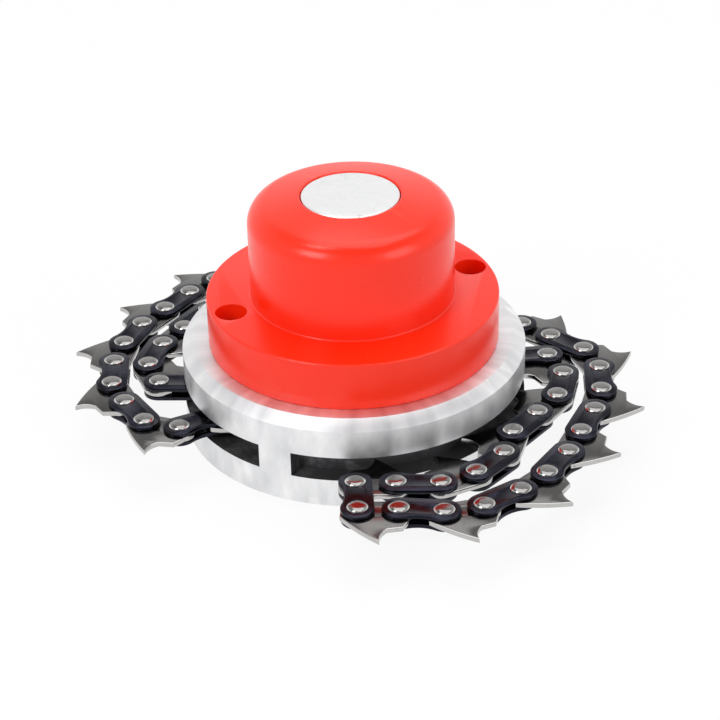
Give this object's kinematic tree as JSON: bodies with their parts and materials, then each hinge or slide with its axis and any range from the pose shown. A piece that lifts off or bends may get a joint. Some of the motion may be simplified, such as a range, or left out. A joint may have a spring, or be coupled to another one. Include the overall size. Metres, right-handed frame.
{
  "type": "grinder chain cutting head",
  "caption": "Chain-type cutting head for an angle grinder: a split disc holds doubled-over loops of toothed saw chain under a red domed guide cap.",
  "frame": {"origin": "centre of the hub's seating face, at the mouth of the spindle thread", "axes": "+Z along the spindle axis, from the seating face up through the guide cap"},
  "size_m": [0.1364, 0.1371, 0.0606],
  "materials": {
    "red_cap": "satin gloss",
    "machined_aluminium": "turned, bright",
    "hub_metal": "faced, scuffed",
    "hardware_steel": "zinc plated",
    "strap_steel": "blued gunmetal",
    "cutter_steel": "ground grey steel"
  },
  "bodies": {
    "root": {"lower_disc": "machined_aluminium", "upper_disc": "machined_aluminium", "drive_hub": "hub_metal", "hub_key": "hardware_steel", "hub_washer": "hardware_steel", "hub_nut": "hardware_steel", "guide_cap": "red_cap", "cap_screws": "hardware_steel", "disc_screws": "hardware_steel", "chain_posts": "hardware_steel", "right_anchor_links": "strap_steel", "left_anchor_links": "strap_steel"},
    "right_outer_cutter_1": {"right_outer_cutter_1": "cutter_steel"},
    "right_outer_strap_1": {"right_outer_strap_1": "strap_steel"},
    "right_outer_cutter_2": {"right_outer_cutter_2": "cutter_steel"},
    "right_outer_strap_2": {"right_outer_strap_2": "strap_steel"},
    "right_outer_cutter_3": {"right_outer_cutter_3": "cutter_steel"},
    "right_outer_strap_3": {"right_outer_strap_3": "strap_steel"},
    "right_outer_cutter_4": {"right_outer_cutter_4": "cutter_steel"},
    "right_outer_strap_4": {"right_outer_strap_4": "strap_steel"},
    "right_outer_cutter_5": {"right_outer_cutter_5": "cutter_steel"},
    "right_outer_strap_5": {"right_outer_strap_5": "strap_steel"},
    "right_outer_cutter_6": {"right_outer_cutter_6": "cutter_steel"},
    "right_outer_strap_6": {"right_outer_strap_6": "strap_steel"},
    "right_outer_cutter_7": {"right_outer_cutter_7": "cutter_steel"},
    "right_inner_strap_1": {"right_inner_strap_1": "strap_steel"},
    "right_inner_cutter_1": {"right_inner_cutter_1": "cutter_steel"},
    "right_inner_strap_2": {"right_inner_strap_2": "strap_steel"},
    "right_inner_cutter_2": {"right_inner_cutter_2": "cutter_steel"},
    "right_inner_strap_3": {"right_inner_strap_3": "strap_steel"},
    "right_inner_cutter_3": {"right_inner_cutter_3": "cutter_steel"},
    "right_inner_strap_4": {"right_inner_strap_4": "strap_steel"},
    "right_inner_cutter_4": {"right_inner_cutter_4": "cutter_steel"},
    "right_inner_strap_5": {"right_inner_strap_5": "strap_steel"},
    "right_inner_cutter_5": {"right_inner_cutter_5": "cutter_steel"},
    "right_tip_strap": {"right_tip_strap": "strap_steel"},
    "left_outer_cutter_1": {"left_outer_cutter_1": "cutter_steel"},
    "left_outer_strap_1": {"left_outer_strap_1": "strap_steel"},
    "left_outer_cutter_2": {"left_outer_cutter_2": "cutter_steel"},
    "left_outer_strap_2": {"left_outer_strap_2": "strap_steel"},
    "left_outer_cutter_3": {"left_outer_cutter_3": "cutter_steel"},
    "left_outer_strap_3": {"left_outer_strap_3": "strap_steel"},
    "left_outer_cutter_4": {"left_outer_cutter_4": "cutter_steel"},
    "left_outer_strap_4": {"left_outer_strap_4": "strap_steel"},
    "left_outer_cutter_5": {"left_outer_cutter_5": "cutter_steel"},
    "left_outer_strap_5": {"left_outer_strap_5": "strap_steel"},
    "left_outer_cutter_6": {"left_outer_cutter_6": "cutter_steel"},
    "left_outer_strap_6": {"left_outer_strap_6": "strap_steel"},
    "left_outer_cutter_7": {"left_outer_cutter_7": "cutter_steel"},
    "left_inner_strap_1": {"left_inner_strap_1": "strap_steel"},
    "left_inner_cutter_1": {"left_inner_cutter_1": "cutter_steel"},
    "left_inner_strap_2": {"left_inner_strap_2": "strap_steel"},
    "left_inner_cutter_2": {"left_inner_cutter_2": "cutter_steel"},
    "left_inner_strap_3": {"left_inner_strap_3": "strap_steel"},
    "left_inner_cutter_3": {"left_inner_cutter_3": "cutter_steel"},
    "left_inner_strap_4": {"left_inner_strap_4": "strap_steel"},
    "left_inner_cutter_4": {"left_inner_cutter_4": "cutter_steel"},
    "left_inner_strap_5": {"left_inner_strap_5": "strap_steel"},
    "left_inner_cutter_5": {"left_inner_cutter_5": "cutter_steel"},
    "left_tip_strap": {"left_tip_strap": "strap_steel"}
  },
  "joints": [
    {"name": "right_outer_cutter_1_hinge", "type": "hinge", "parent": "root", "child": "right_outer_cutter_1", "pos_m": [0.04191, 0.01978, 0.012], "axis": [0, 0, 1], "range_deg": [-0.02, 31.36]},
    {"name": "right_outer_strap_1_hinge", "type": "hinge", "parent": "right_outer_cutter_1", "child": "right_outer_strap_1", "pos_m": [0.04861, 0.01369, 0.012], "axis": [0, 0, 1], "range_deg": [-47.31, 0.02]},
    {"name": "right_outer_cutter_2_hinge", "type": "hinge", "parent": "right_outer_strap_1", "child": "right_outer_cutter_2", "pos_m": [0.05606, 0.00702, 0.012], "axis": [0, 0, 1], "range_deg": [-0.02, 38.46]},
    {"name": "right_outer_strap_2_hinge", "type": "hinge", "parent": "right_outer_cutter_2", "child": "right_outer_strap_2", "pos_m": [0.05898, -0.00155, 0.012], "axis": [0, 0, 1], "range_deg": [-0.02, 40.88]},
    {"name": "right_outer_cutter_3_hinge", "type": "hinge", "parent": "right_outer_strap_2", "child": "right_outer_cutter_3", "pos_m": [0.05837, -0.01153, 0.012], "axis": [0, 0, 1], "range_deg": [-0.02, 19.26]},
    {"name": "right_outer_strap_3_hinge", "type": "hinge", "parent": "right_outer_cutter_3", "child": "right_outer_strap_3", "pos_m": [0.05595, -0.02025, 0.012], "axis": [0, 0, 1], "range_deg": [-0.02, 12.25]},
    {"name": "right_outer_cutter_4_hinge", "type": "hinge", "parent": "right_outer_strap_3", "child": "right_outer_cutter_4", "pos_m": [0.05177, -0.02933, 0.012], "axis": [0, 0, 1], "range_deg": [-2.8, 0.02]},
    {"name": "right_outer_strap_4_hinge", "type": "hinge", "parent": "right_outer_cutter_4", "child": "right_outer_strap_4", "pos_m": [0.04805, -0.03758, 0.012], "axis": [0, 0, 1], "range_deg": [-0.02, 6.43]},
    {"name": "right_outer_cutter_5_hinge", "type": "hinge", "parent": "right_outer_strap_4", "child": "right_outer_cutter_5", "pos_m": [0.04245, -0.04587, 0.012], "axis": [0, 0, 1], "range_deg": [-0.02, 7.08]},
    {"name": "right_outer_strap_5_hinge", "type": "hinge", "parent": "right_outer_cutter_5", "child": "right_outer_strap_5", "pos_m": [0.03605, -0.05227, 0.012], "axis": [0, 0, 1], "range_deg": [-0.02, 10.4]},
    {"name": "right_outer_cutter_6_hinge", "type": "hinge", "parent": "right_outer_strap_5", "child": "right_outer_cutter_6", "pos_m": [0.02766, -0.05771, 0.012], "axis": [0, 0, 1], "range_deg": [-0.02, 21.36]},
    {"name": "right_outer_strap_6_hinge", "type": "hinge", "parent": "right_outer_cutter_6", "child": "right_outer_strap_6", "pos_m": [0.01881, -0.0596, 0.012], "axis": [0, 0, 1], "range_deg": [-7.61, 0.02]},
    {"name": "right_outer_cutter_7_hinge", "type": "hinge", "parent": "right_outer_strap_6", "child": "right_outer_cutter_7", "pos_m": [0.00889, -0.05833, 0.012], "axis": [0, 0, 1], "range_deg": [-109.07, 0.02]},
    {"name": "right_inner_strap_1_hinge", "type": "hinge", "parent": "root", "child": "right_inner_strap_1", "pos_m": [0.03705, 0.00378, 0.012], "axis": [0, 0, 1], "range_deg": [-12.59, 0.02]},
    {"name": "right_inner_cutter_1_hinge", "type": "hinge", "parent": "right_inner_strap_1", "child": "right_inner_cutter_1", "pos_m": [0.047, 0.00474, 0.012], "axis": [0, 0, 1], "range_deg": [0, 50.07]},
    {"name": "right_inner_strap_2_hinge", "type": "hinge", "parent": "right_inner_cutter_1", "child": "right_inner_strap_2", "pos_m": [0.05006, -0.00378, 0.012], "axis": [0, 0, 1], "range_deg": [-0.02, 30.25]},
    {"name": "right_inner_cutter_2_hinge", "type": "hinge", "parent": "right_inner_strap_2", "child": "right_inner_cutter_2", "pos_m": [0.04773, -0.0135, 0.012], "axis": [0, 0, 1], "range_deg": [-0.02, 25.38]},
    {"name": "right_inner_strap_3_hinge", "type": "hinge", "parent": "right_inner_cutter_2", "child": "right_inner_strap_3", "pos_m": [0.04237, -0.0208, 0.012], "axis": [0, 0, 1], "range_deg": [-0.02, 7.97]},
    {"name": "right_inner_cutter_3_hinge", "type": "hinge", "parent": "right_inner_strap_3", "child": "right_inner_cutter_3", "pos_m": [0.03606, -0.02856, 0.012], "axis": [0, 0, 1], "range_deg": [-19.02, 0.02]},
    {"name": "right_inner_strap_4_hinge", "type": "hinge", "parent": "right_inner_cutter_3", "child": "right_inner_strap_4", "pos_m": [0.0334, -0.03721, 0.012], "axis": [0, 0, 1], "range_deg": [-0.02, 24.27]},
    {"name": "right_inner_cutter_4_hinge", "type": "hinge", "parent": "right_inner_strap_4", "child": "right_inner_cutter_4", "pos_m": [0.02669, -0.04462, 0.012], "axis": [0, 0, 1], "range_deg": [-0.02, 12.66]},
    {"name": "right_inner_strap_5_hinge", "type": "hinge", "parent": "right_inner_cutter_4", "child": "right_inner_strap_5", "pos_m": [0.01855, -0.04858, 0.012], "axis": [0, 0, 1], "range_deg": [-0.02, 10.88]},
    {"name": "right_inner_cutter_5_hinge", "type": "hinge", "parent": "right_inner_strap_5", "child": "right_inner_cutter_5", "pos_m": [0.00856, -0.04825, 0.012], "axis": [0, 0, 1], "range_deg": [-19.41, 0.02]},
    {"name": "right_tip_strap_hinge", "type": "hinge", "parent": "right_inner_cutter_5", "child": "right_tip_strap", "pos_m": [-0.00049, -0.048, 0.012], "axis": [0, 0, 1], "range_deg": [-31.23, 0.02]},
    {"name": "left_outer_cutter_1_hinge", "type": "hinge", "parent": "root", "child": "left_outer_cutter_1", "pos_m": [-0.041, -0.02339, 0.012], "axis": [0, 0, 1], "range_deg": [0, 49.26]},
    {"name": "left_outer_strap_1_hinge", "type": "hinge", "parent": "left_outer_cutter_1", "child": "left_outer_strap_1", "pos_m": [-0.0495, -0.0203, 0.012], "axis": [0, 0, 1], "range_deg": [-0.02, 5.49]},
    {"name": "left_outer_cutter_2_hinge", "type": "hinge", "parent": "left_outer_strap_1", "child": "left_outer_cutter_2", "pos_m": [-0.05475, -0.01178, 0.012], "axis": [0, 0, 1], "range_deg": [-45.8, 0.02]},
    {"name": "left_outer_strap_2_hinge", "type": "hinge", "parent": "left_outer_cutter_2", "child": "left_outer_strap_2", "pos_m": [-0.0584, -0.0035, 0.012], "axis": [0, 0, 1], "range_deg": [-17.14, 0.02]},
    {"name": "left_outer_cutter_3_hinge", "type": "hinge", "parent": "left_outer_strap_2", "child": "left_outer_cutter_3", "pos_m": [-0.05864, 0.0065, 0.012], "axis": [0, 0, 1], "range_deg": [-0.02, 24.29]},
    {"name": "left_outer_strap_3_hinge", "type": "hinge", "parent": "left_outer_cutter_3", "child": "left_outer_strap_3", "pos_m": [-0.05696, 0.01539, 0.012], "axis": [0, 0, 1], "range_deg": [-0.02, 49.02]},
    {"name": "left_outer_cutter_4_hinge", "type": "hinge", "parent": "left_outer_strap_3", "child": "left_outer_cutter_4", "pos_m": [-0.05307, 0.0246, 0.012], "axis": [0, 0, 1], "range_deg": [-0.02, 23.79]},
    {"name": "left_outer_strap_4_hinge", "type": "hinge", "parent": "left_outer_cutter_4", "child": "left_outer_strap_4", "pos_m": [-0.0478, 0.03196, 0.012], "axis": [0, 0, 1], "range_deg": [-0.02, 7.07]},
    {"name": "left_outer_cutter_5_hinge", "type": "hinge", "parent": "left_outer_strap_4", "child": "left_outer_cutter_5", "pos_m": [-0.04194, 0.04006, 0.012], "axis": [0, 0, 1], "range_deg": [-0.02, 10.5]},
    {"name": "left_outer_strap_5_hinge", "type": "hinge", "parent": "left_outer_cutter_5", "child": "left_outer_strap_5", "pos_m": [-0.03554, 0.04646, 0.012], "axis": [0, 0, 1], "range_deg": [-0.02, 7.33]},
    {"name": "left_outer_cutter_6_hinge", "type": "hinge", "parent": "left_outer_strap_5", "child": "left_outer_cutter_6", "pos_m": [-0.02739, 0.05226, 0.012], "axis": [0, 0, 1], "range_deg": [-0.02, 14.27]},
    {"name": "left_outer_strap_6_hinge", "type": "hinge", "parent": "left_outer_cutter_6", "child": "left_outer_strap_6", "pos_m": [-0.01889, 0.05537, 0.012], "axis": [0, 0, 1], "range_deg": [-26.81, 0.02]},
    {"name": "left_outer_cutter_7_hinge", "type": "hinge", "parent": "left_outer_strap_6", "child": "left_outer_cutter_7", "pos_m": [-0.00908, 0.05728, 0.012], "axis": [0, 0, 1], "range_deg": [-0.02, 34.22]},
    {"name": "left_inner_strap_1_hinge", "type": "hinge", "parent": "root", "child": "left_inner_strap_1", "pos_m": [-0.03705, -0.00378, 0.012], "axis": [0, 0, 1], "range_deg": [-0.02, 10.63]},
    {"name": "left_inner_cutter_1_hinge", "type": "hinge", "parent": "left_inner_strap_1", "child": "left_inner_cutter_1", "pos_m": [-0.04704, -0.00335, 0.012], "axis": [0, 0, 1], "range_deg": [-0.02, 34.43]},
    {"name": "left_inner_strap_2_hinge", "type": "hinge", "parent": "left_inner_cutter_1", "child": "left_inner_strap_2", "pos_m": [-0.05024, 0.00512, 0.012], "axis": [0, 0, 1], "range_deg": [-0.02, 19.01]},
    {"name": "left_inner_cutter_2_hinge", "type": "hinge", "parent": "left_inner_strap_2", "child": "left_inner_cutter_2", "pos_m": [-0.04728, 0.01467, 0.012], "axis": [0, 0, 1], "range_deg": [-0.02, 13.41]},
    {"name": "left_inner_strap_3_hinge", "type": "hinge", "parent": "left_inner_cutter_2", "child": "left_inner_strap_3", "pos_m": [-0.04248, 0.02235, 0.012], "axis": [0, 0, 1], "range_deg": [-0.02, 14.24]},
    {"name": "left_inner_cutter_3_hinge", "type": "hinge", "parent": "left_inner_strap_3", "child": "left_inner_cutter_3", "pos_m": [-0.03693, 0.03066, 0.012], "axis": [0, 0, 1], "range_deg": [-0.02, 14.77]},
    {"name": "left_inner_strap_4_hinge", "type": "hinge", "parent": "left_inner_cutter_3", "child": "left_inner_strap_4", "pos_m": [-0.03088, 0.0374, 0.012], "axis": [0, 0, 1], "range_deg": [-0.02, 13.82]},
    {"name": "left_inner_cutter_4_hinge", "type": "hinge", "parent": "left_inner_strap_4", "child": "left_inner_cutter_4", "pos_m": [-0.02285, 0.04335, 0.012], "axis": [0, 0, 1], "range_deg": [-0.02, 10.7]},
    {"name": "left_inner_strap_5_hinge", "type": "hinge", "parent": "left_inner_cutter_4", "child": "left_inner_strap_5", "pos_m": [-0.01449, 0.04681, 0.012], "axis": [0, 0, 1], "range_deg": [-0.02, 4.35]},
    {"name": "left_inner_cutter_5_hinge", "type": "hinge", "parent": "left_inner_strap_5", "child": "left_inner_cutter_5", "pos_m": [-0.00459, 0.04828, 0.012], "axis": [0, 0, 1], "range_deg": [-7.1, 0.02]},
    {"name": "left_tip_strap_hinge", "type": "hinge", "parent": "left_inner_cutter_5", "child": "left_tip_strap", "pos_m": [0.00444, 0.04779, 0.012], "axis": [0, 0, 1], "range_deg": [-53.65, 0.02]}
  ],
  "couplings": [
    {"joint": "right_outer_cutter_1_hinge", "follows": "right_inner_cutter_1_hinge", "ratio": 0.56905},
    {"joint": "right_outer_strap_1_hinge", "follows": "right_inner_cutter_1_hinge", "ratio": -0.85864},
    {"joint": "right_outer_cutter_2_hinge", "follows": "right_inner_cutter_1_hinge", "ratio": 0.69787},
    {"joint": "right_outer_strap_2_hinge", "follows": "right_inner_cutter_1_hinge", "ratio": 0.7418},
    {"joint": "right_outer_cutter_3_hinge", "follows": "right_inner_cutter_1_hinge", "ratio": 0.34928},
    {"joint": "right_outer_strap_3_hinge", "follows": "right_inner_cutter_1_hinge", "ratio": 0.2221},
    {"joint": "right_outer_cutter_4_hinge", "follows": "right_inner_cutter_1_hinge", "ratio": -0.050512},
    {"joint": "right_outer_strap_4_hinge", "follows": "right_inner_cutter_1_hinge", "ratio": 0.11637},
    {"joint": "right_outer_cutter_5_hinge", "follows": "right_inner_cutter_1_hinge", "ratio": 0.12819},
    {"joint": "right_outer_strap_5_hinge", "follows": "right_inner_cutter_1_hinge", "ratio": 0.18843},
    {"joint": "right_outer_cutter_6_hinge", "follows": "right_inner_cutter_1_hinge", "ratio": 0.3875},
    {"joint": "right_outer_strap_6_hinge", "follows": "right_inner_cutter_1_hinge", "ratio": -0.13786},
    {"joint": "right_outer_cutter_7_hinge", "follows": "right_inner_cutter_1_hinge", "ratio": -1.98},
    {"joint": "right_inner_strap_1_hinge", "follows": "right_inner_cutter_1_hinge", "ratio": -0.22829},
    {"joint": "right_inner_strap_2_hinge", "follows": "right_inner_cutter_1_hinge", "ratio": 0.5488},
    {"joint": "right_inner_cutter_2_hinge", "follows": "right_inner_cutter_1_hinge", "ratio": 0.46035},
    {"joint": "right_inner_strap_3_hinge", "follows": "right_inner_cutter_1_hinge", "ratio": 0.14441},
    {"joint": "right_inner_cutter_3_hinge", "follows": "right_inner_cutter_1_hinge", "ratio": -0.34501},
    {"joint": "right_inner_strap_4_hinge", "follows": "right_inner_cutter_1_hinge", "ratio": 0.44025},
    {"joint": "right_inner_cutter_4_hinge", "follows": "right_inner_cutter_1_hinge", "ratio": 0.22949},
    {"joint": "right_inner_strap_5_hinge", "follows": "right_inner_cutter_1_hinge", "ratio": 0.19719},
    {"joint": "right_inner_cutter_5_hinge", "follows": "right_inner_cutter_1_hinge", "ratio": -0.3521},
    {"joint": "right_tip_strap_hinge", "follows": "right_inner_cutter_1_hinge", "ratio": -0.56668},
    {"joint": "left_outer_strap_1_hinge", "follows": "left_outer_cutter_1_hinge", "ratio": 0.10093},
    {"joint": "left_outer_cutter_2_hinge", "follows": "left_outer_cutter_1_hinge", "ratio": -0.84487},
    {"joint": "left_outer_strap_2_hinge", "follows": "left_outer_cutter_1_hinge", "ratio": -0.31592},
    {"joint": "left_outer_cutter_3_hinge", "follows": "left_outer_cutter_1_hinge", "ratio": 0.44792},
    {"joint": "left_outer_strap_3_hinge", "follows": "left_outer_cutter_1_hinge", "ratio": 0.90421},
    {"joint": "left_outer_cutter_4_hinge", "follows": "left_outer_cutter_1_hinge", "ratio": 0.43868},
    {"joint": "left_outer_strap_4_hinge", "follows": "left_outer_cutter_1_hinge", "ratio": 0.13016},
    {"joint": "left_outer_cutter_5_hinge", "follows": "left_outer_cutter_1_hinge", "ratio": 0.19335},
    {"joint": "left_outer_strap_5_hinge", "follows": "left_outer_cutter_1_hinge", "ratio": 0.13489},
    {"joint": "left_outer_cutter_6_hinge", "follows": "left_outer_cutter_1_hinge", "ratio": 0.263},
    {"joint": "left_outer_strap_6_hinge", "follows": "left_outer_cutter_1_hinge", "ratio": -0.49438},
    {"joint": "left_outer_cutter_7_hinge", "follows": "left_outer_cutter_1_hinge", "ratio": 0.63123},
    {"joint": "left_inner_strap_1_hinge", "follows": "left_outer_cutter_1_hinge", "ratio": 0.19585},
    {"joint": "left_inner_cutter_1_hinge", "follows": "left_outer_cutter_1_hinge", "ratio": 0.63497},
    {"joint": "left_inner_strap_2_hinge", "follows": "left_outer_cutter_1_hinge", "ratio": 0.35045},
    {"joint": "left_inner_cutter_2_hinge", "follows": "left_outer_cutter_1_hinge", "ratio": 0.24715},
    {"joint": "left_inner_strap_3_hinge", "follows": "left_outer_cutter_1_hinge", "ratio": 0.26243},
    {"joint": "left_inner_cutter_3_hinge", "follows": "left_outer_cutter_1_hinge", "ratio": 0.27214},
    {"joint": "left_inner_strap_4_hinge", "follows": "left_outer_cutter_1_hinge", "ratio": 0.25461},
    {"joint": "left_inner_cutter_4_hinge", "follows": "left_outer_cutter_1_hinge", "ratio": 0.197},
    {"joint": "left_inner_strap_5_hinge", "follows": "left_outer_cutter_1_hinge", "ratio": 0.079879},
    {"joint": "left_inner_cutter_5_hinge", "follows": "left_outer_cutter_1_hinge", "ratio": -0.1306},
    {"joint": "left_tip_strap_hinge", "follows": "left_outer_cutter_1_hinge", "ratio": -0.98975}
  ]
}
